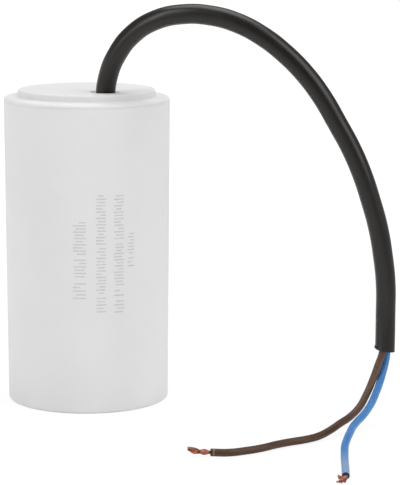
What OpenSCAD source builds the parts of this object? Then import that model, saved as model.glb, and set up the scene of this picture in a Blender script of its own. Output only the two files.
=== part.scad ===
// Motor capacitor in a moulded can, with a two-core cable through its lid.
// The can stands on the plane z = 0 with its axis on +Z. Sizes are in millimetres.

/* [Can] */
// Outside diameter of the can at its mouth
can_d = 60; // [52:0.5:68]
// Height of the can from the foot to the rim
can_h = 109.4; // [100:0.2:112]
// How much narrower the can is across the foot than at the mouth
can_draft = 1.6; // [0.4:0.1:2.6]
// Thickness of the can's wall
can_wall = 2; // [1.5:0.1:2.8]
// Thickness of the can's floor
can_floor = 2.2; // [1.8:0.1:4]
// Rounding of the foot's outside edge
foot_r = 1; // [0.4:0.1:1.8]
// Width of the ring that the can stands on
foot_ring = 5; // [3:0.5:10]
// Depth of the recess under the floor
foot_recess = 0.6; // [0.4:0.1:1]
// Diameter of the moulding gate's mark in the recess
gate_d = 5; // [3:0.5:8]
// Height of the moulding gate's mark
gate_h = 0.3; // [0.1:0.1:0.3]

/* [Lid] */
// Thickness of the flange that lies on the can's rim
flange_t = 1.5; // [1.4:0.1:2.4]
// Rounding of the flange's top edge
flange_r = 1.2; // [0.3:0.1:1.3]
// Chamfer on the flange and on the rim, on each side of the seam
seam_chamfer = 0.15; // [0.1:0.05:0.25]
// Diameter of the raised middle at its top
plateau_d = 49.5; // [44:0.5:51]
// Height of the raised middle above the flange
plateau_h = 2.6; // [2:0.1:4]
// How much wider the raised middle is at its foot than at its top
plateau_draft = 0.4; // [0.2:0.1:2.5]
// Rounding of the raised middle's top edge
plateau_r = 0.5; // [0.2:0.1:1]
// Thickness of the lid's walls
lid_wall = 1.8; // [1.2:0.1:2.2]
// How far the spigot reaches into the can
spigot_h = 5; // [4:0.5:7]
// Clearance between the spigot and the can
spigot_gap = 0.1; // [0.05:0.05:0.3]
// Chamfer that leads the spigot into the can
spigot_chamfer = 0.5; // [0.2:0.1:0.8]
// Radius of the bead that snaps the spigot into the can
bead_r = 0.5; // [0.3:0.1:0.7]

/* [Cable] */
// Place of the cable hole across the lid, to the right of the axis
cable_x = 7; // [4:0.5:9]
// Place of the cable hole across the lid, in front of the axis when negative
cable_y = -11.5; // [-16:0.5:-9]
// Diameter of the black sheath
sheath_d = 7; // [5.8:0.1:7.4]
// Diameter of each core over its insulation
core_d = 2.6; // [2:0.1:2.7]
// Diameter of each core's bare copper
conductor_d = 1.3; // [1:0.1:1.5]
// Clearance of the lid's hole around the sheath
hole_gap = 0.7; // [0.7:0.1:1.8]
// Countersink around the top of the lid's hole
hole_chamfer = 1.1; // [0.2:0.1:1.4]
// How deep the sheath's end is cast into the resin
sheath_grip = 4; // [3:0.5:6]

/* [Winding] */
// Thickness of the resin between the winding and the can's wall, at the winding's foot
resin_side = 0.8; // [0.4:0.1:2]
// Thickness of the resin under the winding
resin_foot = 3.8; // [3.2:0.1:6]
// Gap between the resin's top and the spigot
resin_gap = 1.6; // [0.5:0.1:4]
// Height left for the leads between the sheath's end and the winding
lead_room = 7; // [6.6:0.2:10]
// Thickness of the wrap around the film
wrap_t = 0.4; // [0.2:0.1:1]
// Thickness of the metal sprayed on each end of the film
spray_t = 0.6; // [0.4:0.1:1]
// Outside diameter of the tube that the film is wound on
tube_d = 12; // [9:0.5:16]
// Wall of the tube that the film is wound on
tube_wall = 1.5; // [1:0.1:2]
// Diameter of a solder joint where it meets the sprayed metal
solder_d = 6; // [4.5:0.5:8]
// Height of a solder joint
solder_h = 2.4; // [2.1:0.1:2.8]
// Length of bare copper at the foot of the brown lead and below the blue lead's insulation
strip_l = 3.4; // [3:0.1:5]
// Gap between a lead and the sprayed metal that it crosses
lead_gap = 0.5; // [0.2:0.1:0.6]

/* [Hidden] */

// Roundness of turned and moulded faces
$fn = 96;
// Sides of the sheath's tube and of the thin cores' tubes
sheath_sides = 12;
core_sides = 8;
// A cut runs this far past the face that it opens
through = 1;

// Can and lid heights
flange_top = can_h + flange_t;
lid_top = flange_top + plateau_h;
spigot_foot = can_h - spigot_h;
bead_z = can_h - spigot_h / 2;

// Can radii: the wall leans out by the draft from foot to rim
draft_angle = atan(can_draft / 2 / can_h);
function outer_r(z) = can_d / 2 - (can_h - z) * tan(draft_angle);
function inner_r(z) = outer_r(z) - can_wall;
spigot_r = inner_r(spigot_foot) - spigot_gap;
groove_r = bead_r + spigot_gap;
recess_r = outer_r(0) - foot_ring;
// Centre of the foot's rounding, which meets both the floor plane and the leaning wall
foot_x = outer_r(foot_r) - foot_r / cos(draft_angle);

// Resin and winding heights, from the spigot down and from the floor up
resin_top = spigot_foot - resin_gap;
sheath_foot = resin_top - sheath_grip;
winding_top = sheath_foot - lead_room;
winding_foot = can_floor + resin_foot;
wrap_r = inner_r(winding_foot) - resin_side;
roll_r = wrap_r - wrap_t;
tube_r = tube_d / 2;

// The two leads under the lid lie in one upright plane through the can's axis and the cable hole
cable_angle = atan2(cable_y, cable_x);
cable_r = norm([cable_x, cable_y]);
core_space = 0.3;
brown_r = cable_r + (core_d + core_space) / 2;
blue_r = cable_r - (core_d + core_space) / 2;
bend_r = core_d;
run_z = winding_top + lead_gap + core_d / 2;
low_bend_r = 1.5 * conductor_d;
low_z = winding_foot - lead_gap - conductor_d / 2;
blue_strip_z = winding_foot + strip_l;
low_joint_r = (tube_r + roll_r) / 2;

// Route of the sheath: up out of the lid, over in an arc and down beside the can
sheath_route = [
    [cable_x, cable_y, sheath_foot], [cable_x, cable_y, can_h],
    [8, -12.8, 118.75], [11.65, -16.5, 127.8], [17.5, -20, 134.9], [25.5, -24, 140], [35, -27.5, 142.25],
    [44.5, -30.5, 142], [53.5, -33.5, 139.75], [62, -36, 135.5], [70, -38, 129.5], [77, -39.5, 122.5],
    [83, -40, 114.5], [88, -39.5, 106], [93, -39, 97], [97, -38.5, 88], [100.25, -37.5, 78.5],
    [103, -36.5, 69], [104.9, -35.5, 59], [106.2, -34, 48.5], [106.5, -32, 37], [106.5, -32, 24.4]];
// Route of the brown core: down to the ground and across it towards the front left
brown_route = [
    [105.65, -33.1, 24.4], [103.8, -34.25, 19], [101.5, -37, 14], [99, -41, 10], [96.25, -45.5, 7],
    [93, -50.5, 4.75], [89.5, -55.5, 3.5], [85.5, -60.5, 2.5], [81.5, -65.25, 1.75], [77, -69.25, 1.5],
    [72.25, -72.25, 1.5], [67, -76, 1.5], [62, -80, 1.35], [57, -83.25, 1.35], [50.5, -85.25, 1.35],
    [44.5, -85.75, 1.35]];
// Route of the blue core: forward in a low arch until its tip meets the ground
blue_route = [
    [107.35, -30.9, 24.4], [106.75, -31.25, 19.5], [105.5, -33.75, 15.75], [104.25, -37.5, 13.25],
    [102.75, -42, 11.5], [101.4, -47, 10.25], [99.9, -52, 9.25], [98.1, -57.5, 8.5], [96.4, -63, 8],
    [94.4, -68.25, 7.5], [92.6, -73.5, 7], [91.3, -79, 6.5], [90, -85, 6], [88.9, -91, 5.25],
    [88.4, -96.75, 4.5], [88.1, -102.5, 3.75], [87.8, -108.5, 2.75], [87.25, -114, 1.5]];
// Routes of the bare copper, which go straight on from each core's insulation before they bend
brown_tip = [[44.5, -85.75, 1.35], [41.5, -86, 1.35], [39, -86.25, 1.8], [37, -86.25, 2.5]];
blue_tip = [[87.25, -114, 1.5], [86.975, -116.75, 0.875], [85.5, -118.5, 0.8]];
// Directions square to each route's general plane, which keep a tube's rings from twisting
sheath_side = [0, 1, 0];
brown_side = [1, -1, 0];
blue_side = [1, 0, 0];

// The cores leave the sheath through its flat end, which faces down
down = [0, 0, -1];

// Unit direction of a route at one of its points; the first can be given, to seat that end flat
function unit(v) = v / norm(v);
function heading(route, i, start) =
    i == 0 && start != undef ? start
    : unit(route[min(i + 1, len(route) - 1)] - route[max(i - 1, 0)]);
// Corners of one ring, square to the route
function ring(route, i, d, sides, side, start) =
    let(along = heading(route, i, start), u = unit(cross(side, along)), v = cross(along, u))
    [for (k = [0 : sides - 1]) route[i] + d / 2 * (cos(360 * k / sides) * u + sin(360 * k / sides) * v)];

// A closed tube swept along a route, with one ring at each point
module tube(route, d, sides, side, start) {
    last = len(route) - 1;
    corners = [for (i = [0 : last]) each ring(route, i, d, sides, side, start)];
    start_cap = [for (k = [0 : sides - 1]) k];
    end_cap = [for (k = [sides - 1 : -1 : 0]) last * sides + k];
    wall = [for (i = [0 : last - 1], k = [0 : sides - 1])
        let(a = i * sides + k, b = i * sides + (k + 1) % sides)
        each [[a, a + sides, b], [b, a + sides, b + sides]]];
    polyhedron(points = corners, faces = concat([start_cap, end_cap], wall), convexity = 6);
}

// Half section of the can's inside, up to a height
module cavity_section(top) {
    polygon([[0, can_floor], [inner_r(can_floor), can_floor], [inner_r(top), top], [0, top]]);
}

// Half section of the can as a full block, with its rounded foot and chamfered rim
module can_block_section() {
    polygon([
        [0, 0], [foot_x, 0],
        [foot_x + foot_r * cos(draft_angle), foot_r - foot_r * sin(draft_angle)],
        [outer_r(can_h - seam_chamfer), can_h - seam_chamfer],
        [outer_r(can_h) - seam_chamfer, can_h], [0, can_h]]);
    translate([foot_x, foot_r]) circle(foot_r);
}

// Half section of the shallow recess under the can, around the gate's mark
module recess_section() {
    polygon([
        [0, -through], [recess_r, -through], [recess_r, 0], [recess_r - foot_recess, foot_recess],
        [gate_d / 2, foot_recess], [gate_d / 2, foot_recess - gate_h], [0, foot_recess - gate_h]]);
}

module can() {
    color([0.87, 0.87, 0.86]) rotate_extrude() difference() {
        can_block_section();
        cavity_section(can_h + through);
        translate([inner_r(bead_z), bead_z]) circle(groove_r);
        recess_section();
    }
}

// The quarter of a disc that rounds an upper outside edge
module quarter_disc(r) {
    intersection() {
        circle(r);
        square(r);
    }
}

// Half section of the lid: flange on the rim, raised middle, and spigot with its snap bead
module lid_section() {
    plateau_top_r = plateau_d / 2;
    plateau_foot_r = (plateau_d + plateau_draft) / 2;
    flange_edge = outer_r(can_h);
    difference() {
        union() {
            polygon([
                [0, can_h], [flange_edge - seam_chamfer, can_h], [flange_edge, can_h + seam_chamfer],
                [flange_edge, flange_top - flange_r], [flange_edge - flange_r, flange_top], [0, flange_top]]);
            translate([flange_edge - flange_r, flange_top - flange_r]) quarter_disc(flange_r);
            polygon([
                [0, flange_top - lid_wall], [plateau_foot_r, flange_top - lid_wall],
                [plateau_foot_r, flange_top], [plateau_top_r, lid_top - plateau_r],
                [plateau_top_r - plateau_r, lid_top], [0, lid_top]]);
            translate([plateau_top_r - plateau_r, lid_top - plateau_r]) quarter_disc(plateau_r);
            polygon([
                [0, spigot_foot], [spigot_r - spigot_chamfer, spigot_foot],
                [spigot_r, spigot_foot + spigot_chamfer], [spigot_r, can_h], [0, can_h]]);
            translate([spigot_r, bead_z]) circle(bead_r);
        }
        polygon([
            [0, spigot_foot - through], [spigot_r - lid_wall, spigot_foot - through],
            [spigot_r - lid_wall, flange_top - lid_wall], [plateau_top_r - lid_wall, flange_top - lid_wall],
            [plateau_top_r - lid_wall, lid_top - lid_wall], [0, lid_top - lid_wall]]);
    }
}

module lid() {
    hole_r = sheath_d / 2 + hole_gap;
    color([0.92, 0.92, 0.91]) difference() {
        rotate_extrude() lid_section();
        translate([cable_x, cable_y, lid_top - lid_wall - through])
            cylinder(r = hole_r, h = lid_wall + 2 * through);
        translate([cable_x, cable_y, lid_top - hole_chamfer])
            cylinder(r1 = hole_r, r2 = hole_r + hole_chamfer + through, h = hole_chamfer + through);
    }
}

// A plain ring about the can's axis between two heights
module round_sleeve(outer, inner, foot, top) {
    translate([0, 0, foot]) difference() {
        cylinder(r = outer, h = top - foot);
        translate([0, 0, -through]) cylinder(r = inner, h = top - foot + 2 * through);
    }
}

module film_winding() {
    color([0.78, 0.78, 0.82])
        round_sleeve(roll_r, tube_r, winding_foot + spray_t, winding_top - spray_t);
}

module winding_core() {
    color([0.9, 0.9, 0.86]) round_sleeve(tube_r, tube_r - tube_wall, winding_foot, winding_top);
}

module winding_wrap() {
    color([0.86, 0.8, 0.6])
        round_sleeve(wrap_r, roll_r, winding_foot + spray_t, winding_top - spray_t);
}

module upper_end_spray() {
    color([0.62, 0.62, 0.64]) round_sleeve(wrap_r, tube_r, winding_top - spray_t, winding_top);
}

module lower_end_spray() {
    color([0.62, 0.62, 0.64]) round_sleeve(wrap_r, tube_r, winding_foot, winding_foot + spray_t);
}

// A domed drop of solder that stands on z = 0
module solder_dome() {
    ball_r = (pow(solder_d / 2, 2) + pow(solder_h, 2)) / (2 * solder_h);
    rotate_extrude() intersection() {
        translate([0, solder_h - ball_r]) circle(ball_r);
        square([solder_d, solder_h + through]);
    }
}

module upper_dome() {
    rotate([0, 0, cable_angle]) translate([brown_r, 0, winding_top]) solder_dome();
}

module lower_dome() {
    rotate([0, 0, cable_angle]) translate([low_joint_r, 0, winding_foot]) mirror([0, 0, 1]) solder_dome();
}

module upper_solder_joint() {
    color([0.7, 0.7, 0.72]) difference() {
        upper_dome();
        brown_lead();
    }
}

module lower_solder_joint() {
    color([0.7, 0.7, 0.72]) difference() {
        lower_dome();
        blue_lead();
    }
}

// A quarter bend of wire in the XZ plane, from the right of its centre up to its top
module quarter_bend(r, d) {
    rotate([90, 0, 0]) rotate_extrude(angle = 90) translate([r, 0]) circle(d = d);
}

// The brown lead drops straight from the sheath onto the upper end of the film
module brown_lead() {
    rotate([0, 0, cable_angle]) translate([brown_r, 0, winding_top]) {
        cylinder(d = conductor_d, h = strip_l);
        translate([0, 0, strip_l]) cylinder(d = core_d, h = sheath_foot - winding_top - strip_l);
    }
}

// The blue lead crosses to the axis, goes down through the tube and turns out under the film
module blue_lead() {
    rotate([0, 0, cable_angle]) {
        translate([blue_r, 0, run_z + bend_r]) cylinder(d = core_d, h = sheath_foot - run_z - bend_r);
        translate([blue_r - bend_r, 0, run_z + bend_r]) mirror([0, 0, 1]) quarter_bend(bend_r, core_d);
        translate([bend_r, 0, run_z]) rotate([0, 90, 0]) cylinder(d = core_d, h = blue_r - 2 * bend_r);
        translate([bend_r, 0, run_z - bend_r]) mirror([1, 0, 0]) quarter_bend(bend_r, core_d);
        translate([0, 0, blue_strip_z]) cylinder(d = core_d, h = run_z - bend_r - blue_strip_z);
        translate([0, 0, low_z + low_bend_r])
            cylinder(d = conductor_d, h = blue_strip_z - low_z - low_bend_r);
        translate([low_bend_r, 0, low_z + low_bend_r])
            mirror([1, 0, 0]) mirror([0, 0, 1]) quarter_bend(low_bend_r, conductor_d);
        translate([low_bend_r, 0, low_z]) rotate([0, 90, 0])
            cylinder(d = conductor_d, h = low_joint_r - low_bend_r);
    }
}

module brown_tail() {
    color([0.36, 0.29, 0.25]) brown_lead();
}

module blue_tail() {
    color([0.29, 0.5, 0.78]) blue_lead();
}

// The resin fills the can around the winding and holds the leads and the sheath's end
module potting_resin() {
    color([0.76, 0.7, 0.54]) difference() {
        rotate_extrude() cavity_section(resin_top);
        translate([0, 0, winding_foot]) cylinder(r = wrap_r, h = winding_top - winding_foot);
        translate([cable_x, cable_y, sheath_foot]) cylinder(d = sheath_d, h = sheath_grip + through);
        upper_dome();
        lower_dome();
        brown_lead();
        blue_lead();
    }
}

module cable_sheath() {
    color([0.17, 0.17, 0.16]) tube(sheath_route, sheath_d, sheath_sides, sheath_side);
}

module brown_core() {
    color([0.36, 0.29, 0.25]) tube(brown_route, core_d, core_sides, brown_side, down);
}

module blue_core() {
    color([0.29, 0.5, 0.78]) tube(blue_route, core_d, core_sides, blue_side, down);
}

module brown_strands() {
    color([0.75, 0.43, 0.31]) tube(brown_tip, conductor_d, core_sides, brown_side);
}

module blue_strands() {
    color([0.75, 0.43, 0.31]) tube(blue_tip, conductor_d, core_sides, blue_side);
}

can();
lid();
film_winding();
winding_core();
winding_wrap();
upper_end_spray();
lower_end_spray();
upper_solder_joint();
lower_solder_joint();
brown_tail();
blue_tail();
potting_resin();
cable_sheath();
brown_core();
blue_core();
brown_strands();
blue_strands();
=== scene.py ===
import bpy
import bmesh
import math
import random
from mathutils import Matrix, Vector


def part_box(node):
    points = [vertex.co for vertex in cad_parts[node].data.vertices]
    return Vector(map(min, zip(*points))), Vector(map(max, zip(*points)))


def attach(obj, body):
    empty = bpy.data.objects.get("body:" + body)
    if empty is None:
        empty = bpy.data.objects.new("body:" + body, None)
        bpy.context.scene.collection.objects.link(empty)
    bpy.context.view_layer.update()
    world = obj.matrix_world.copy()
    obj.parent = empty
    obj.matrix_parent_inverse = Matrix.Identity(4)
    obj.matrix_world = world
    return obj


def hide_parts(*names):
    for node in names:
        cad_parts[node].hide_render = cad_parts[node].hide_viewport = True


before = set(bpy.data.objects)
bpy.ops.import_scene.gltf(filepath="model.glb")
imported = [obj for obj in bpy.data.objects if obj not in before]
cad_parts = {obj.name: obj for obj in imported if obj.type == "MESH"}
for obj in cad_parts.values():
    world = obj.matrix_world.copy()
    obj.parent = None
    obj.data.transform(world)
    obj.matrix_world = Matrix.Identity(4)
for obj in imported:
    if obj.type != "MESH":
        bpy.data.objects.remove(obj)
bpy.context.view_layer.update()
mm = 0.001
print("frame loaded:", len(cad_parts), "nodes")


# Camera at the photograph's angle
cameraSetup = {
    "place": (41 * mm, -800 * mm, 193.7 * mm),
    "lookDown": 9.677,   # degrees below the horizon
    "roll": 0.16,        # degrees
    "lens": 164.9,       # on the default 36 mm sensor, along the picture's long side
    "nearClip": 0.01,
}


def addCamera(setup):
    bpy.ops.object.camera_add(location=setup["place"])
    camera = bpy.context.object
    camera.name = "photoCamera"
    tilt = Matrix.Rotation(math.radians(90 - setup["lookDown"]), 3, "X")
    roll = Matrix.Rotation(math.radians(setup["roll"]), 3, "Z")
    camera.rotation_euler = (tilt @ roll).to_euler()
    camera.data.lens = setup["lens"]
    camera.data.clip_start = setup["nearClip"]
    bpy.context.scene.camera = camera


addCamera(cameraSetup)
print("camera placed")


# Small helpers for working by operators
def clearSelection():
    if bpy.context.mode != "OBJECT":
        bpy.ops.object.mode_set(mode="OBJECT")
    bpy.ops.object.select_all(action="DESELECT")


def pick(piece):
    clearSelection()
    piece.select_set(True)
    bpy.context.view_layer.objects.active = piece


def editMesh(piece, selectMode="VERT"):
    pick(piece)
    bpy.ops.object.mode_set(mode="EDIT")
    bpy.ops.mesh.select_mode(type=selectMode)
    bpy.ops.mesh.select_all(action="DESELECT")
    return bmesh.from_edit_mesh(piece.data)


def bakePlace(piece):
    pick(piece)
    bpy.ops.object.transform_apply(location=True, rotation=True, scale=True)


def applyModifier(piece, kind, **settings):
    pick(piece)
    modifier = piece.modifiers.new(kind.lower(), kind)
    for key, value in settings.items():
        setattr(modifier, key, value)
    bpy.ops.object.modifier_apply(modifier=modifier.name)


def turnRings(name, rings, sides):
    # a disc pulled on from ring to ring, as on a lathe: each ring is (radius, height)
    clearSelection()
    radius, height = rings[0]
    bpy.ops.mesh.primitive_circle_add(
        vertices=sides, radius=radius, fill_type="NGON", location=(0, 0, height))
    piece = bpy.context.object
    piece.name = name
    bakePlace(piece)
    bpy.ops.object.mode_set(mode="EDIT")
    bpy.ops.mesh.select_all(action="SELECT")
    for nextRadius, nextHeight in rings[1:]:
        grow = nextRadius / radius
        bpy.ops.mesh.extrude_region_move(TRANSFORM_OT_translate={"value": (0, 0, nextHeight - height)})
        bpy.ops.transform.resize(value=(grow, grow, 1), center_override=(0, 0, nextHeight))
        radius, height = nextRadius, nextHeight
    bpy.ops.mesh.select_all(action="SELECT")
    bpy.ops.mesh.normals_make_consistent(inside=False)
    clearSelection()
    return piece


def halfRound(radius, height, reach, rise):
    # rings of a half circle that bulges from a radius, going up where rise is 1 and down where it is -1
    steps = 6
    rings = []
    for step in range(steps + 1):
        angle = rise * math.pi * (step / steps - 0.5)
        rings.append((radius + reach * math.cos(angle), height + reach * math.sin(angle)))
    return rings


def roundRing(piece, radius, height, width, segments):
    # bevels the edge ring that lies at a radius and height
    mesh = editMesh(piece, "EDGE")
    near = 0.02 * mm
    for edge in mesh.edges:
        offLevel = max(abs(vert.co.z - height) for vert in edge.verts)
        offRadius = max(abs(vert.co.xy.length - radius) for vert in edge.verts)
        edge.select_set(offLevel < near and offRadius < near)
    bmesh.update_edit_mesh(piece.data)
    bpy.ops.mesh.bevel(offset=width, segments=segments, affect="EDGES")
    clearSelection()


def smoothHardEdges(piece, degrees=32):
    pick(piece)
    bpy.ops.object.shade_smooth_by_angle(angle=math.radians(degrees))
    applyModifier(piece, "WEIGHTED_NORMAL", keep_sharp=True)


# Cable: the routes, in millimetres, keep within a millimetre of those of the solids
cableSetup = {
    "sheathDiameter": 7 * mm,
    "coreDiameter": 2.6 * mm,
    "sheathExit": (7 * mm, -11.5 * mm, 113.5 * mm),   # where it leaves the lid
    "overrun": 2 * mm,           # extra length that the slanted cut takes off again
    "cutSlant": 8.5,             # degrees, with the left side higher
    "jacketWall": 0.75 * mm,
    "hollowDepth": 3 * mm,
    "coreStub": 2.6 * mm,        # how far each core starts up inside the jacket
    "insulationWall": 0.55 * mm,
    "sheathCutRound": 0.15 * mm,
    # rings of the rolled lip: how high above the cut and how far pushed out, in millimetres
    "lipRings": ((1.8, 0), (1.26, -0.16), (0.84, 0.24), (0.36, 0.3)),
    "lipReach": 5 * mm,          # of the faces that the rings are cut into, from the cut's middle
    "coreCutRound": 0.28 * mm,
    "sheathSides": 12,           # curve bevel resolution
    "coreSides": 7,
    "stepsPerPoint": 8,
    "sharpAngle": 50,            # degrees, past which an edge stays sharp
}
sheathRoute = [
    (7, -11.5, 98.8), (7, -11.5, 109.4), (8.1, -12.8, 118.7), (11.75, -16.5, 127.65), (17.5, -20, 134.9),
    (25.5, -24, 140), (35, -27.5, 142.25), (44.5, -30.5, 142), (53.5, -33.5, 139.75), (62, -36, 135.5),
    (70, -38, 129.5), (77, -39.5, 122.5), (83, -40, 114.5), (88, -39.5, 106), (93, -39, 97),
    (97, -38.5, 88), (100.25, -37.5, 78.5), (103, -36.5, 69), (104.9, -35.5, 59), (106.2, -34, 48.5),
    (106.5, -32, 37), (106.5, -32, 24.4)]
brownRoute = [
    (105.65, -33.1, 24.4), (103.85, -34.25, 19), (101.7, -37, 14), (99.35, -41, 10), (96.8, -45.5, 6.95),
    (93.15, -50.5, 4.68), (89.45, -55.5, 3.6), (85.5, -60.5, 2.3), (81.5, -65.25, 1.6), (77, -69.25, 1.5),
    (72.25, -72.25, 1.5), (67, -76, 1.5), (62, -80, 1.35), (57, -83.25, 1.35), (50.5, -86, 1.33),
    (44.5, -85.75, 1.35)]
blueRoute = [
    (107.35, -30.9, 24.4), (106.75, -31.25, 19.5), (105.5, -33.75, 15.75), (104.25, -37.5, 13.25),
    (102.9, -42, 11.5), (101.55, -47, 10.25), (100.1, -52, 9.25), (98.35, -57.5, 8.5), (96.5, -63, 8),
    (94.4, -68.25, 7.5), (92.6, -73.5, 7), (91.3, -79, 6.5), (90, -85, 6), (88.9, -91, 5.25),
    (88.4, -96.75, 4.5), (88.05, -102.5, 3.75), (87.9, -108.5, 2.75), (87.65, -114.8, 1.45)]


def inMetres(route):
    return [Vector(point) * mm for point in route]


def roundCurve(name, lines, diameter, sides, steps):
    # round cords of one diameter, each on a smooth spline through its points
    curve = bpy.data.curves.new(name, "CURVE")
    curve.dimensions = "3D"
    curve.resolution_u = steps
    curve.bevel_depth = diameter / 2
    curve.bevel_resolution = sides
    curve.use_fill_caps = True
    for line in lines:
        spline = curve.splines.new("BEZIER")
        spline.bezier_points.add(len(line) - 1)
        for knot, point in zip(spline.bezier_points, line):
            knot.co = point
            knot.handle_left_type = knot.handle_right_type = "AUTO"
    piece = bpy.data.objects.new(name, curve)
    bpy.context.scene.collection.objects.link(piece)
    return piece


def centreLine(piece):
    # the spline's own points, read with the bevel off
    depth = piece.data.bevel_depth
    piece.data.bevel_depth = 0
    bare = bpy.data.meshes.new_from_object(piece)
    line = [vert.co.copy() for vert in bare.vertices]
    bpy.data.meshes.remove(bare)
    piece.data.bevel_depth = depth
    return line


def makeMesh(piece):
    pick(piece)
    bpy.ops.object.convert(target="MESH")
    return bpy.context.object


def cutEnd(piece, point, normal, wall, depth, edgeRound):
    # cuts the end off square to a normal, then hollows it to a wall; the cut takes the second material
    squareOn = 0.98              # how nearly a face of the cut points along the normal
    bulge = 0.6 * edgeRound
    editMesh(piece)
    bpy.ops.mesh.select_all(action="SELECT")
    bpy.ops.mesh.remove_doubles(threshold=0.0001 * mm)
    bpy.ops.mesh.bisect(plane_co=point, plane_no=normal, use_fill=True, clear_outer=True)
    clearSelection()
    mesh = editMesh(piece, "FACE")
    for face in mesh.faces:
        onCut = face.normal.dot(normal) > squareOn and (face.calc_center_median() - point).length < wall
        face.select_set(onCut)
        face.material_index = int(onCut)
    bmesh.update_edit_mesh(piece.data)
    bpy.ops.mesh.inset(thickness=edgeRound)
    bpy.ops.transform.translate(value=normal * bulge)
    bpy.ops.mesh.inset(thickness=wall - edgeRound)
    bpy.ops.mesh.extrude_region_move(TRANSFORM_OT_translate={"value": normal * -depth})
    clearSelection()


def rollLip(piece, point, normal, setup):
    # a lip that the cut has rolled out on the left, under a crease
    skin = 0.98 * setup["sheathDiameter"] / 2    # just under the outside
    faceSkin = 0.9 * skin                        # faces' middles lie further in than their corners
    nearLevel = 0.02 * mm
    for height, push in setup["lipRings"]:
        level = point - normal * height * mm
        mesh = editMesh(piece)
        for face in mesh.faces:
            middle = face.calc_center_median() - point
            across = middle - normal * middle.dot(normal)
            face.select_set(middle.length < setup["lipReach"] and across.length > faceSkin)
        bmesh.update_edit_mesh(piece.data)
        bpy.ops.mesh.bisect(plane_co=level, plane_no=normal)
        mesh = bmesh.from_edit_mesh(piece.data)
        for vert in mesh.verts:
            across = vert.co - level
            onRing = vert.select and abs(across.dot(normal)) < nearLevel and across.length > skin
            if onRing and across.x < 0:
                vert.co += across.normalized() * push * mm * (across.x / across.length) ** 2
        bmesh.update_edit_mesh(piece.data)
        clearSelection()


def buildSheath(setup):
    points = inMetres(sheathRoute)
    end = points[-1]
    down = Vector((0, 0, -1))
    points[-1] = end + down * setup["overrun"]
    cord = roundCurve("cableJacket", [points], setup["sheathDiameter"], setup["sheathSides"],
                      setup["stepsPerPoint"])
    line = [point for point in centreLine(cord) if point.z > end.z] + [end]
    jacket = makeMesh(cord)
    slant = Matrix.Rotation(math.radians(setup["cutSlant"]), 3, "Y")
    cutEnd(jacket, end, slant @ down, setup["jacketWall"], setup["hollowDepth"], setup["sheathCutRound"])
    rollLip(jacket, end, slant @ down, setup)
    smoothHardEdges(jacket, setup["sharpAngle"])
    return jacket, line


def buildCore(name, route, setup):
    points = inMetres(route)
    start = points[0] + Vector((0, 0, setup["coreStub"]))
    cord = roundCurve(name, [[start] + points], setup["coreDiameter"], setup["coreSides"],
                      setup["stepsPerPoint"])
    line = centreLine(cord)
    core = makeMesh(cord)
    outwards = (line[-1] - line[-2]).normalized()
    end = line[-1] - outwards * setup["coreCutRound"]
    cutEnd(core, end, outwards, setup["insulationWall"], setup["insulationWall"], setup["coreCutRound"])
    smoothHardEdges(core, setup["sharpAngle"])
    return core, line


jacket, jacketLine = buildSheath(cableSetup)
brownCore, brownLine = buildCore("brownInsulation", brownRoute, cableSetup)
blueCore, blueLine = buildCore("blueInsulation", blueRoute, cableSetup)
print("cable built")


# Bare copper: fine strands along each stripped tip
copperSetup = {
    "strandDiameter": 0.26 * mm,
    "strandsPerBundle": 18,
    "pointsPerStrand": 18,
    "strandSides": 2,             # curve bevel resolution
    "strandSteps": 2,
    "sharpAngle": 50,
    "rootLength": 1.5 * mm,       # how far the strands start back inside the insulation
    "twistTurns": 1.04,
    "twistStart": -7.24,          # degrees, so that one half is above the other a quarter of the way along
    "strandSpin": 0.5,            # share of the twist that turns the strands within a half
    "raggedEnd": 0.07,            # share of the length by which the strands' ends differ
    "rootOffset": 0.2 * mm,       # of each half from the middle, at the insulation and at its widest
    "wideOffset": 0.46 * mm,
    "rootBundle": 0.42 * mm,      # radius of each half, at the insulation and at its widest
    "wideBundle": 0.6 * mm,
    "swellShare": 0.5,            # of the way along, where a half is widest
    "clumpSpread": 0.22 * mm,     # of the splayed strands' ends
    "tuftRadius": 0.55 * mm,      # of the splayed bundle, where it leaves the insulation
    "tuftStraight": 0.9 * mm,     # how far its strands go before they bend
    "tuftSag": 0.25 * mm,
    "tuftFloor": 0.16 * mm,       # the lowest that a strand's middle may end
    "tuftStep": 11,               # mixes the strands of the clumps over the section
    "goldenAngle": 137.508,
    "seed": 7,
}
brownTip = [(44.5, -85.75, 1.4), (41.5, -86, 1.6), (39, -86.25, 2.1), (37, -86.25, 2.75)]
# where the clumps of the splayed blue tip end, and how many strands go to each
blueTipRoot = blueRoute[-1]
blueClumps = [
    ((85.1, -115.9, 2.0), 8), ((85.25, -117.05, 1.28), 7), ((84.65, -118.1, 0.5), 8),
    ((85.3, -118.6, 0.45), 7), ((86.1, -118.8, 0.55), 7), ((87.0, -118.5, 0.6), 7),
    ((86.3, -117.9, 1.3), 8), ((87.2, -117.4, 1.2), 6), ((85.15, -116.4, 1.7), 7)]


def strandObject(name, lines, setup):
    curve = roundCurve(name, lines, setup["strandDiameter"], setup["strandSides"], setup["strandSteps"])
    piece = makeMesh(curve)
    bpy.ops.object.shade_smooth_by_angle(angle=math.radians(setup["sharpAngle"]))
    return piece


def alongRoute(points, share):
    # a point part of the way along straight stretches
    lengths = [(end - start).length for start, end in zip(points, points[1:])]
    left = share * sum(lengths)
    for start, end, length in zip(points, points[1:], lengths):
        if left <= length:
            return start.lerp(end, left / length)
        left -= length
    return points[-1].copy()


def bundleSpot(index, count, radius, setup):
    # even places over a round bundle's section
    spread = radius * math.sqrt((index + 0.5) / count)
    angle = math.radians(setup["goldenAngle"] * index)
    return spread * math.cos(angle), spread * math.sin(angle)


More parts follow.
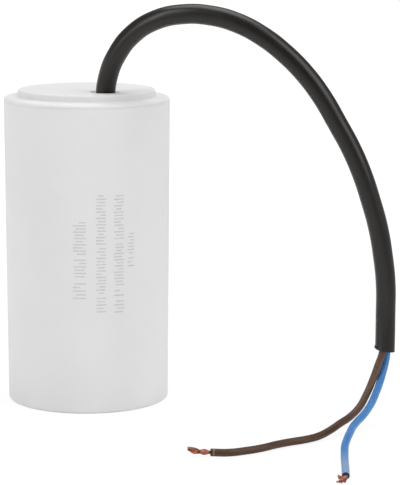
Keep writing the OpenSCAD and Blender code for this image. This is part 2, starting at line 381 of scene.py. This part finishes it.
def twistedCopper(setup):
    dice = random.Random(setup["seed"])
    tip = inMetres(brownTip)
    back = (tip[0] - tip[1]).normalized() * setup["rootLength"]
    lines = []
    for half in range(2):
        for index in range(setup["strandsPerBundle"]):
            line = [tip[0] + back]
            reach = 1 - setup["raggedEnd"] * dice.random()
            for step in range(setup["pointsPerStrand"] + 1):
                share = reach * step / setup["pointsPerStrand"]
                swell = math.sin(min(1, share / setup["swellShare"]) * math.pi / 2)
                offset = setup["rootOffset"] + (setup["wideOffset"] - setup["rootOffset"]) * swell
                radius = setup["rootBundle"] + (setup["wideBundle"] - setup["rootBundle"]) * swell
                turn = math.radians(setup["twistStart"] + 180 * half + 360 * setup["twistTurns"] * share)
                spin = turn * setup["strandSpin"]
                across, up = bundleSpot(index, setup["strandsPerBundle"], radius, setup)
                side = math.cos(turn) * offset + math.cos(spin) * across - math.sin(spin) * up
                rise = math.sin(turn) * offset + math.sin(spin) * across + math.cos(spin) * up
                line.append(alongRoute(tip, share) + Vector((0, side, rise)))
            lines.append(line)
    return strandObject("brownCopper", lines, setup)


def splayedCopper(setup):
    dice = random.Random(setup["seed"] + 1)
    root = Vector(blueTipRoot) * mm
    inwards = (blueLine[-2] - blueLine[-1]).normalized()
    sideways = inwards.cross(Vector((0, 0, 1))).normalized()
    upwards = sideways.cross(inwards).normalized()
    total = sum(count for end, count in blueClumps)
    lines = []
    for end, count in blueClumps:
        for index in range(count):
            spot = len(lines) * setup["tuftStep"] % total
            across, up = bundleSpot(spot, total, setup["tuftRadius"], setup)
            start = root + sideways * across + upwards * up
            bend = start - inwards * setup["tuftStraight"]
            jitter = Vector([dice.uniform(-1, 1) for axis in "xyz"]) * setup["clumpSpread"]
            goal = Vector(end) * mm + jitter
            goal.z = max(goal.z, setup["tuftFloor"])
            middle = bend.lerp(goal, 0.5) - inwards * setup["tuftSag"]
            lines.append([start + inwards * setup["rootLength"], start, bend, middle, goal])
    return strandObject("blueCopper", lines, setup)


brownCopper = twistedCopper(copperSetup)
blueCopper = splayedCopper(copperSetup)
print("copper strands built")


# Can: a drafted shell with a rounded foot and a shallow recess under it
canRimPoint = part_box("can")[1]
canSetup = {
    "rimRadius": canRimPoint.x,
    "height": canRimPoint.z,
    "draft": 0.8 * mm,
    "wall": 2 * mm,
    "floor": 2.2 * mm,
    "footRound": 1 * mm,
    "footRing": 5 * mm,
    "recess": 0.6 * mm,
    "gateRadius": 2.5 * mm,
    "gateHeight": 0.3 * mm,
    "grooveRadius": 0.6 * mm,
    "grooveDepth": 2.5 * mm,     # below the rim
    "seamChamfer": 0.15 * mm,
    "sides": 192,
}


def buildCan(setup):
    height = setup["height"]

    def outer(z):
        return setup["rimRadius"] - setup["draft"] * (height - z) / height

    def inner(z):
        return outer(z) - setup["wall"]

    groove = height - setup["grooveDepth"]
    recessRadius = outer(0) - setup["footRing"]
    rings = [
        (setup["gateRadius"], setup["recess"] - setup["gateHeight"]),
        (setup["gateRadius"], setup["recess"]), (recessRadius - setup["recess"], setup["recess"]),
        (recessRadius, 0), (outer(0), 0), (outer(height), height), (inner(height), height)]
    rings += halfRound(inner(groove), groove, setup["grooveRadius"], -1)
    rings.append((inner(setup["floor"]), setup["floor"]))
    shell = turnRings("canShell", rings, setup["sides"])
    roundRing(shell, outer(0), 0, setup["footRound"], segments=6)
    roundRing(shell, outer(height), height, setup["seamChamfer"], segments=2)
    smoothHardEdges(shell)
    return shell


canShell = buildCan(canSetup)
print("can built")


# Lid: a flange on the rim, a raised middle with a cable hole, and a spigot with its snap bead
spigotPoint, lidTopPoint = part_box("lid")
lidSetup = {
    "flangeRadius": canSetup["rimRadius"],
    "seam": canSetup["height"],
    "flangeThick": 1.5 * mm,
    "flangeRound": 1.2 * mm,
    "plateauRadius": 24.75 * mm,
    "plateauDraft": 0.2 * mm,
    "plateauRound": 0.5 * mm,
    "plateauFillet": 0.5 * mm,
    "top": lidTopPoint.z,
    "wall": 1.8 * mm,
    "spigotFoot": spigotPoint.z,
    "spigotRadius": 27.86 * mm,
    "spigotChamfer": 0.5 * mm,
    "beadRadius": 0.5 * mm,
    "holePlace": cableSetup["sheathExit"][:2],
    "holeRadius": 4.2 * mm,
    "holeChamfer": 1.1 * mm,
    "holeSides": 96,
}


def buildLid(setup):
    seam = setup["seam"]
    flangeTop = seam + setup["flangeThick"]
    underside = flangeTop - setup["wall"]
    plateauInside = setup["plateauRadius"] - setup["wall"]
    spigot = setup["spigotRadius"]
    chamfer = setup["spigotChamfer"]
    bead = (seam + setup["spigotFoot"]) / 2
    plateauFoot = setup["plateauRadius"] + setup["plateauDraft"]
    rings = [
        (plateauInside, setup["top"] - setup["wall"]), (plateauInside, underside),
        (spigot - setup["wall"], underside), (spigot - setup["wall"], setup["spigotFoot"]),
        (spigot - chamfer, setup["spigotFoot"]), (spigot, setup["spigotFoot"] + chamfer)]
    rings += halfRound(spigot, bead, setup["beadRadius"], 1)
    rings += [
        (spigot, seam), (setup["flangeRadius"], seam), (setup["flangeRadius"], flangeTop),
        (plateauFoot, flangeTop), (setup["plateauRadius"], setup["top"])]
    lid = turnRings("lidCover", rings, canSetup["sides"])
    roundRing(lid, setup["flangeRadius"], seam, canSetup["seamChamfer"], segments=2)
    roundRing(lid, setup["flangeRadius"], flangeTop, setup["flangeRound"], segments=8)
    roundRing(lid, plateauFoot, flangeTop, setup["plateauFillet"], segments=3)
    roundRing(lid, setup["plateauRadius"], setup["top"], setup["plateauRound"], segments=5)
    drillHole(lid, setup)
    smoothHardEdges(lid)
    return lid


def drillHole(lid, setup):
    # a drill with a countersink, taken out of the lid
    below = setup["top"] - 2 * setup["wall"]
    chamferFoot = setup["top"] - setup["holeChamfer"]
    above = setup["top"] + setup["holeChamfer"]
    rings = [
        (setup["holeRadius"], below), (setup["holeRadius"], chamferFoot),
        (setup["holeRadius"] + 2 * setup["holeChamfer"], above)]
    drill = turnRings("drill", rings, setup["holeSides"])
    drill.location = (*setup["holePlace"], 0)
    bakePlace(drill)
    applyModifier(lid, "BOOLEAN", object=drill, operation="DIFFERENCE", solver="EXACT")
    bpy.data.objects.remove(drill)


lidCover = buildLid(lidSetup)
print("lid built")


# Print on the can: plain bars where the photograph shows lines of text, with no lettering
printSetup = {
    "standOff": 45 * mm,          # in front of the axis, before the bars are laid onto the can
    "proud": 0.03 * mm,
    "thick": 0.06 * mm,
    "segments": 6,
    "pitch": 1.1 * mm,
    "barHeight": 0.46 * mm,
    "widthShares": (1, 0.8, 1, 0.55, 0.9, 0.7),   # of the column's width, in turn
    "sides": (0, 1, 0, -1, 1),    # a shorter bar stands in the middle or to one side
    "columns": [                  # one printed line each; blocks are the foot and top of its words, in mm
        {"middle": -1.42 * mm, "width": 4.6 * mm, "blocks": [(41.9, 47.6), (49.7, 56.1), (57.8, 69.5)]},
        {"middle": 6.15 * mm, "width": 3.5 * mm, "blocks": [(37, 42.3), (43.7, 60.1), (61.4, 78.9)]},
        {"middle": 12.4 * mm, "width": 3.4 * mm,
         "blocks": [(36.6, 40.9), (42.6, 44.8), (46.5, 61.4), (63.1, 78.7)]},
        {"middle": 16.5 * mm, "width": 2.2 * mm, "blocks": [(52.9, 56.1), (57.5, 64.9)]},
    ],
}


def addBar(middle, height, width, setup):
    clearSelection()
    bpy.ops.mesh.primitive_grid_add(
        x_subdivisions=setup["segments"], y_subdivisions=1, size=1,
        location=(middle, -setup["standOff"], height), rotation=(math.pi / 2, 0, 0))
    bar = bpy.context.object
    bar.scale = (width, setup["barHeight"], 1)
    bakePlace(bar)
    return bar


def buildPrint(shell, setup):
    bars = []
    shares, sides = setup["widthShares"], setup["sides"]
    for column in setup["columns"]:
        for foot, top in column["blocks"]:
            count = round((top - foot) * mm / setup["pitch"])
            lowest = foot * mm + setup["barHeight"] / 2
            climb = (top - foot) * mm - setup["barHeight"]
            for step in range(count):
                width = column["width"] * shares[len(bars) % len(shares)]
                aside = sides[len(bars) % len(sides)] * (column["width"] - width) / 2
                height = lowest + climb * step / (count - 1)
                bars.append(addBar(column["middle"] + aside, height, width, setup))
    clearSelection()
    for bar in bars:
        bar.select_set(True)
    bpy.context.view_layer.objects.active = bars[0]
    bpy.ops.object.join()
    marks = bpy.context.object
    marks.name = "printMarks"
    applyModifier(marks, "SHRINKWRAP", target=shell, wrap_method="PROJECT", wrap_mode="ABOVE_SURFACE",
                  use_project_y=True, offset=setup["proud"])
    applyModifier(marks, "SOLIDIFY", thickness=setup["thick"], offset=-1)
    return marks


printMarks = buildPrint(canShell, printSetup)
print("print laid on")


# Materials: one function for each finish, on object coordinates or along a cable
def newFinish(name):
    finish = bpy.data.materials.new(name)
    finish.use_nodes = True
    nodes = finish.node_tree.nodes
    return finish, nodes, finish.node_tree.links, nodes["Principled BSDF"]


def addNoise(nodes, links, place, scale, detail=3.0, rough=0.55):
    noise = nodes.new("ShaderNodeTexNoise")
    noise.inputs["Scale"].default_value = scale
    noise.inputs["Detail"].default_value = detail
    noise.inputs["Roughness"].default_value = rough
    links.new(place, noise.inputs["Vector"])
    return noise.outputs["Fac"]


def addRange(nodes, links, value, low, high, fromLow=0.3, fromHigh=0.7):
    spread = nodes.new("ShaderNodeMapRange")
    spread.inputs["From Min"].default_value = fromLow
    spread.inputs["From Max"].default_value = fromHigh
    spread.inputs["To Min"].default_value = low
    spread.inputs["To Max"].default_value = high
    links.new(value, spread.inputs["Value"])
    return spread.outputs["Result"]


def addMix(nodes, links, factor, first, second):
    # inputs 6 and 7 and output 2 are the node's colour sockets
    mix = nodes.new("ShaderNodeMix")
    mix.data_type = "RGBA"
    links.new(factor, mix.inputs["Factor"])
    for socket, colour in ((mix.inputs[6], first), (mix.inputs[7], second)):
        if isinstance(colour, tuple):
            socket.default_value = (*colour, 1)
        else:
            links.new(colour, socket)
    return mix.outputs[2]


def addBump(nodes, links, height, depth):
    bump = nodes.new("ShaderNodeBump")
    bump.inputs["Distance"].default_value = depth
    bump.inputs["Strength"].default_value = 1
    links.new(height, bump.inputs["Height"])
    return bump.outputs["Normal"]


def objectPlace(nodes):
    return nodes.new("ShaderNodeTexCoord").outputs["Object"]


def addMaths(nodes, links, operation, value, other=0.0):
    maths = nodes.new("ShaderNodeMath")
    maths.operation = operation
    links.new(value, maths.inputs[0])
    if isinstance(other, float):
        maths.inputs[1].default_value = other
    else:
        links.new(other, maths.inputs[1])
    return maths.outputs[0]


def addSkin(nodes, links, shader, place, look):
    # uneven gloss and a fine sparked grain
    gloss = addNoise(nodes, links, place, look["glossScale"])
    links.new(addRange(nodes, links, gloss, *look["roughness"]), shader.inputs["Roughness"])
    grain = addNoise(nodes, links, place, look["grainScale"], detail=2.0)
    links.new(addBump(nodes, links, grain, look["grainDepth"]), shader.inputs["Normal"])
    shader.inputs["Specular IOR Level"].default_value = look["specular"]


def mouldedPlastic(name, look):
    # moulded plastic, faintly cloudy
    finish, nodes, links, shader = newFinish(name)
    place = objectPlace(nodes)
    cloud = addRange(nodes, links, addNoise(nodes, links, place, look["cloudScale"]), 0, 1)
    links.new(addMix(nodes, links, cloud, look["dark"], look["pale"]), shader.inputs["Base Color"])
    addSkin(nodes, links, shader, place, look)
    return finish


def drawnPlastic(name, look):
    # cable plastic: streaks drawn along it, and other tones over some of its length, painted light among
    # them
    finish, nodes, links, shader = newFinish(name)
    split = nodes.new("ShaderNodeSeparateXYZ")
    links.new(nodes.new("ShaderNodeUVMap").outputs["UV"], split.inputs[0])
    along = split.outputs["X"]
    angle = addMaths(nodes, links, "MULTIPLY", split.outputs["Y"], 2 * math.pi)
    skin = nodes.new("ShaderNodeCombineXYZ")
    links.new(addMaths(nodes, links, "COSINE", angle), skin.inputs["X"])
    links.new(addMaths(nodes, links, "SINE", angle), skin.inputs["Y"])
    links.new(addMaths(nodes, links, "MULTIPLY", along, float(look["streakLength"])), skin.inputs["Z"])
    streak = addNoise(nodes, links, skin.outputs[0], look["streakScale"])
    colour = addMix(nodes, links, addRange(nodes, links, streak, 0, 1), look["dark"], look["pale"])
    for start, full, share, tone in look["tones"]:
        colour = addMix(nodes, links, addRange(nodes, links, along, 0, share, start, full), colour, tone)
    links.new(colour, shader.inputs["Base Color"])
    addSkin(nodes, links, shader, objectPlace(nodes), look)
    return finish


canLook = {
    "dark": (0.7, 0.7, 0.7), "pale": (0.72, 0.72, 0.72), "cloudScale": 60, "glossScale": 140,
    "roughness": (0.46, 0.54), "grainScale": 2600, "grainDepth": 0.006 * mm, "specular": 0.14,
}
lidLook = {
    "dark": (0.71, 0.71, 0.71), "pale": (0.73, 0.73, 0.73), "cloudScale": 90, "glossScale": 140,
    "roughness": (0.5, 0.58), "grainScale": 2600, "grainDepth": 0.006 * mm, "specular": 0.1,
}
inkLook = {
    "dark": (0.52, 0.52, 0.52), "pale": (0.6, 0.6, 0.6), "cloudScale": 500, "glossScale": 300,
    "roughness": (0.5, 0.6), "grainScale": 2600, "grainDepth": 0.004 * mm, "specular": 0.12,
}
# tones: where along the cable each starts and is full, as shares of its length, and how much it covers
sheathLook = {
    "dark": (0.0065, 0.0052, 0.0036), "pale": (0.0098, 0.008, 0.006), "streakLength": 3,
    "streakScale": 2.5, "glossScale": 400, "roughness": (0.3, 0.36), "grainScale": 1500,
    "grainDepth": 0.006 * mm, "specular": 0.42, "tones": [],
}
brownLook = {
    "dark": (0.043, 0.022, 0.012), "pale": (0.107, 0.06, 0.037), "streakLength": 4, "streakScale": 2.2,
    "glossScale": 500, "roughness": (0.36, 0.48), "grainScale": 2200, "grainDepth": 0.012 * mm,
    "specular": 0.17,
    "tones": [
        # painted light: the steep first stretch below the sheath is painted lighter, as the front light
        # falls on it
        (0.405, 0.36, 0.6, (0.132, 0.083, 0.066)),
        # near the cut: a lighter ring, a painted highlight where a stripping nick would catch the light,
        # then darker up to the cut
        (0.983, 0.985, 1, (0.2, 0.13, 0.1)), (0.989, 0.991, 1, (0.055, 0.03, 0.02))],
}
blueLook = {
    "dark": (0.037, 0.152, 0.385), "pale": (0.077, 0.23, 0.505), "streakLength": 4, "streakScale": 2.2,
    "glossScale": 500, "roughness": (0.34, 0.44), "grainScale": 2200, "grainDepth": 0.012 * mm,
    "specular": 0.22,
    "tones": [(0.835, 0.94, 1, (0.2, 0.305, 0.47))],
}
# the cut faces of the three plastics; the cores' faces are darker than their skins, the blue one painted
# dark navy as shade
cutLook = {
    "dark": (0.012, 0.012, 0.012), "pale": (0.02, 0.02, 0.02), "cloudScale": 500, "glossScale": 500,
    "roughness": (0.55, 0.7), "grainScale": 1800, "grainDepth": 0.02 * mm, "specular": 0.2,
}
brownCutLook = {**cutLook, "dark": (0.03, 0.018, 0.012), "pale": (0.05, 0.032, 0.022)}
# painted shade: the blue cut face is painted the navy of a face in shadow
blueShadedCutLook = {**cutLook, "dark": (0.025, 0.04, 0.09), "pale": (0.045, 0.068, 0.14)}
# pieces inside the can
tubeLook = {**canLook, "dark": (0.74, 0.74, 0.68), "pale": (0.8, 0.8, 0.74)}
wrapLook = {
    **canLook, "dark": (0.66, 0.56, 0.29), "pale": (0.73, 0.63, 0.34),
    "roughness": (0.16, 0.24), "specular": 0.5,
}
resinLook = {
    **canLook, "dark": (0.5, 0.41, 0.22), "pale": (0.57, 0.48, 0.27),
    "roughness": (0.22, 0.34), "specular": 0.5,
}


def woundFilm(name, look):
    # metallised film: fine rings about the winding's axis
    finish, nodes, links, shader = newFinish(name)
    flat = nodes.new("ShaderNodeVectorMath")
    flat.operation = "MULTIPLY"
    flat.inputs[1].default_value = (1, 1, 0)
    links.new(objectPlace(nodes), flat.inputs[0])
    radius = nodes.new("ShaderNodeVectorMath")
    radius.operation = "LENGTH"
    links.new(flat.outputs[0], radius.inputs[0])
    wave = addMaths(nodes, links, "MULTIPLY", radius.outputs["Value"], 2 * math.pi / look["ringSpacing"])
    ring = addRange(nodes, links, addMaths(nodes, links, "SINE", wave), 0, 1, -1, 1)
    links.new(addMix(nodes, links, ring, look["dark"], look["pale"]), shader.inputs["Base Color"])
    shader.inputs["Roughness"].default_value = look["roughness"]
    shader.inputs["Metallic"].default_value = look["metallic"]
    return finish


filmLook = {
    "dark": (0.48, 0.48, 0.53), "pale": (0.6, 0.6, 0.65), "ringSpacing": 0.5 * mm,
    "roughness": 0.28, "metallic": 0.6,
}


def bareMetal(name, look):
    # metal with stains and a rough skin
    finish, nodes, links, shader = newFinish(name)
    place = objectPlace(nodes)
    stain = addNoise(nodes, links, place, look["stainScale"])
    stain = addRange(nodes, links, stain, 0, 1, fromLow=0.35, fromHigh=0.65)
    links.new(addMix(nodes, links, stain, look["bright"], look["dull"]), shader.inputs["Base Color"])
    gloss = addNoise(nodes, links, place, look["glossScale"])
    links.new(addRange(nodes, links, gloss, *look["roughness"]), shader.inputs["Roughness"])
    links.new(addBump(nodes, links, gloss, look["grainDepth"]), shader.inputs["Normal"])
    shader.inputs["Metallic"].default_value = 1
    return finish


def strippedLead(name, look):
    # insulation above a height, and bare copper below it
    finish, nodes, links, shader = newFinish(name)
    place = objectPlace(nodes)
    split = nodes.new("ShaderNodeSeparateXYZ")
    links.new(place, split.inputs[0])
    edge, blend = look["bareBelow"], look["edgeBlend"]
    bare = addRange(nodes, links, split.outputs["Z"], 1, 0, edge - blend, edge + blend)
    cloud = addRange(nodes, links, addNoise(nodes, links, place, look["cloudScale"]), 0, 1)
    skin = addMix(nodes, links, cloud, look["dark"], look["pale"])
    links.new(addMix(nodes, links, bare, skin, look["copper"]), shader.inputs["Base Color"])
    links.new(bare, shader.inputs["Metallic"])
    shader.inputs["Roughness"].default_value = look["roughness"]
    return finish


copperLook = {
    "bright": (0.55, 0.235, 0.16), "dull": (0.2, 0.075, 0.05), "stainScale": 900, "glossScale": 2500,
    "roughness": (0.28, 0.5), "grainDepth": 0.01 * mm,
}
zincLook = {
    "bright": (0.42, 0.42, 0.44), "dull": (0.3, 0.3, 0.32), "stainScale": 700, "glossScale": 1500,
    "roughness": (0.6, 0.75), "grainDepth": 0.08 * mm,
}
solderLook = {
    "bright": (0.58, 0.58, 0.61), "dull": (0.44, 0.44, 0.47), "stainScale": 500, "glossScale": 900,
    "roughness": (0.25, 0.4), "grainDepth": 0.02 * mm,
}
leadLook = {"cloudScale": 300, "copper": (0.6, 0.24, 0.14), "roughness": 0.42, "edgeBlend": 0.02 * mm}
brownLeadLook = {**leadLook, "dark": brownLook["dark"], "pale": brownLook["pale"], "bareBelow": 95.2 * mm}
blueLeadLook = {**leadLook, "dark": blueLook["dark"], "pale": blueLook["pale"], "bareBelow": 9.4 * mm}

finishes = {
    "can": mouldedPlastic("canPlastic", canLook),
    "lid": mouldedPlastic("lidPlastic", lidLook),
    "print": mouldedPlastic("greyInk", inkLook),
    "sheath": drawnPlastic("blackSheath", sheathLook),
    "sheathCut": mouldedPlastic("blackCut", cutLook),
    "brown": drawnPlastic("brownSkin", brownLook),
    "brownCut": mouldedPlastic("brownCutFace", brownCutLook),
    "blue": drawnPlastic("blueSkin", blueLook),
    "blueCut": mouldedPlastic("blueShadedCutFace", blueShadedCutLook),
    "copper": bareMetal("bareCopper", copperLook),
}
insideFinishes = {
    "film_winding": woundFilm("woundFilm", filmLook),
    "winding_core": mouldedPlastic("tubePlastic", tubeLook),
    "winding_wrap": mouldedPlastic("wrapFilm", wrapLook),
    "upper_end_spray": bareMetal("upperZinc", zincLook),
    "lower_end_spray": bareMetal("lowerZinc", zincLook),
    "upper_solder_joint": bareMetal("upperSolder", solderLook),
    "lower_solder_joint": bareMetal("lowerSolder", solderLook),
    "brown_tail": strippedLead("brownLead", brownLeadLook),
    "blue_tail": strippedLead("blueLead", blueLeadLook),
    "potting_resin": mouldedPlastic("castResin", resinLook),
}


def dress(piece, slot, node, *names):
    # gives a piece its finishes and its place in the frame; the print stands for no node
    for name in names:
        piece.data.materials.append(finishes[name])
    if node:
        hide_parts(node)
    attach(piece, "root")


dress(canShell, "can_plastic", "can", "can")
dress(lidCover, "lid_plastic", "lid", "lid")
dress(printMarks, "can_plastic", None, "print")
dress(jacket, "black_sheath", "cable_sheath", "sheath", "sheathCut")
dress(brownCore, "brown_insulation", "brown_core", "brown", "brownCut")
dress(blueCore, "blue_insulation", "blue_core", "blue", "blueCut")
dress(brownCopper, "bare_copper", "brown_strands", "copper")
dress(blueCopper, "bare_copper", "blue_strands", "copper")
for node, finish in insideFinishes.items():
    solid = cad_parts[node].data
    solid.materials.clear()
    solid.materials.append(finish)
print("finishes set")


# Stage: white floor that keeps a soft shadow, with painted shade in front of and beside the picture, a
# plain sky and three soft boxes
stageSetup = {
    "floorSize": 12.0,
    "floorGrey": 0.96,
    "seenGlow": 0.885,             # share of the floor's white, as the camera sees it, that no shadow takes
    "farEdge": (0.1, 0.7),         # where that grows to all of it, behind the object
    "frontGlow": 0.6,              # share of the white that is left in front of the picture: painted shade, for the sheath to mirror
    "frontEdge": (-0.32, -0.128),
    "sideGlow": 0.5,               # and to the right of it, past a line that slopes outwards, also painted shade
    "sideEdge": (0.12, 0.24),
    "sideSlope": 0.1,
    "seenShade": 0.12,             # grey that takes the shadow
    "skyLight": 0.29,              # overhead
    "horizonLight": 1.0,           # a white backdrop all round
    "horizonTop": 0.12,            # how high the backdrop fades, as the sine of its elevation
    "cameraSide": 0.5,             # share of the sky's light that is left on the camera's side
    "cameraSideEdge": (-0.8, 0.1),
    "aim": (0.04, -0.02, 0.06),
    "distance": 1.5,
    "softBoxes": {                 # bearing is from the camera's side, to the right; both angles in degrees
        "rightBox": {"bearing": 60, "height": 36, "width": 1.15, "length": 2.0, "power": 15.6},
        "leftBox": {"bearing": -57, "height": 26, "width": 0.42, "length": 1.9, "power": 9.8},
        "backBox": {"bearing": 188, "height": 76, "width": 1.5, "length": 1.3, "power": 13.7},
    },
}


def grey(level):
    return (level, level, level, 1)


def seenByCamera(nodes, links):
    # one where the ray comes from the camera, a reflection or a refraction
    ray = nodes.new("ShaderNodeLightPath").outputs
    mirrored = addMaths(nodes, links, "MAXIMUM", ray["Is Glossy Ray"], ray["Is Transmission Ray"])
    return addMaths(nodes, links, "MAXIMUM", ray["Is Camera Ray"], mirrored)


def floorGlow(nodes, links, setup):
    # white in the picture, and outside it a painted falloff of light: painted shade in front and to the
    # right
    split = nodes.new("ShaderNodeSeparateXYZ")
    links.new(objectPlace(nodes), split.inputs[0])
    behind = addRange(nodes, links, split.outputs["Y"], setup["seenGlow"], 1, *setup["farEdge"])
    front = addRange(nodes, links, split.outputs["Y"], setup["frontGlow"], 1, *setup["frontEdge"])
    slope = addMaths(nodes, links, "MULTIPLY", split.outputs["Y"], setup["sideSlope"])
    outwards = addMaths(nodes, links, "SUBTRACT", split.outputs["X"], slope)
    beside = addRange(nodes, links, outwards, 1, setup["sideGlow"], *setup["sideEdge"])
    sheet = addMaths(nodes, links, "MULTIPLY", front, behind)
    return addMaths(nodes, links, "MULTIPLY", sheet, beside)


def buildFloor(setup):
    clearSelection()
    bpy.ops.mesh.primitive_plane_add(size=setup["floorSize"], location=(0, 0, 0))
    floor = bpy.context.object
    floor.name = "studioFloor"
    finish = bpy.data.materials.new("studioWhite")
    finish.use_nodes = True
    nodes, links = finish.node_tree.nodes, finish.node_tree.links
    nodes.clear()
    output = nodes.new("ShaderNodeOutputMaterial")
    plain = nodes.new("ShaderNodeBsdfDiffuse")
    plain.inputs["Color"].default_value = grey(setup["floorGrey"])
    glow = nodes.new("ShaderNodeEmission")
    links.new(floorGlow(nodes, links, setup), glow.inputs["Strength"])
    shade = nodes.new("ShaderNodeBsdfDiffuse")
    shade.inputs["Color"].default_value = grey(setup["seenShade"])
    seen = nodes.new("ShaderNodeAddShader")
    links.new(glow.outputs[0], seen.inputs[0])
    links.new(shade.outputs[0], seen.inputs[1])
    choice = nodes.new("ShaderNodeMixShader")
    links.new(seenByCamera(nodes, links), choice.inputs[0])
    links.new(plain.outputs[0], choice.inputs[1])
    links.new(seen.outputs[0], choice.inputs[2])
    links.new(choice.outputs[0], output.inputs["Surface"])
    floor.data.materials.append(finish)


def buildSky(setup):
    sky = bpy.data.worlds.new("studioSky")
    sky.use_nodes = True
    bpy.context.scene.world = sky
    nodes, links = sky.node_tree.nodes, sky.node_tree.links
    split = nodes.new("ShaderNodeSeparateXYZ")
    links.new(nodes.new("ShaderNodeTexCoord").outputs["Generated"], split.inputs[0])
    rising = addRange(nodes, links, split.outputs["Z"], setup["horizonLight"], setup["skyLight"],
                      0, setup["horizonTop"])
    facing = addRange(nodes, links, split.outputs["Y"], setup["cameraSide"], 1, *setup["cameraSideEdge"])
    links.new(addMaths(nodes, links, "MULTIPLY", rising, facing), nodes["Background"].inputs["Strength"])
    nodes["Background"].inputs["Color"].default_value = grey(1)


def addSoftBox(name, box, setup):
    bearing = math.radians(box["bearing"])
    height = math.radians(box["height"])
    level = Vector((math.sin(bearing), -math.cos(bearing), 0))
    away = level * math.cos(height) + Vector((0, 0, math.sin(height)))
    bpy.ops.object.light_add(type="AREA", location=Vector(setup["aim"]) + away * setup["distance"])
    light = bpy.context.object
    light.name = name
    light.data.shape = "ELLIPSE"
    light.data.size = box["width"]
    light.data.size_y = box["length"]
    light.data.energy = box["power"]
    light.rotation_euler = away.to_track_quat("Z", "Y").to_euler()


buildFloor(stageSetup)
buildSky(stageSetup)
for name, box in stageSetup["softBoxes"].items():
    addSoftBox(name, box, stageSetup)
bpy.context.scene.view_settings.view_transform = "Standard"
print("stage lit")
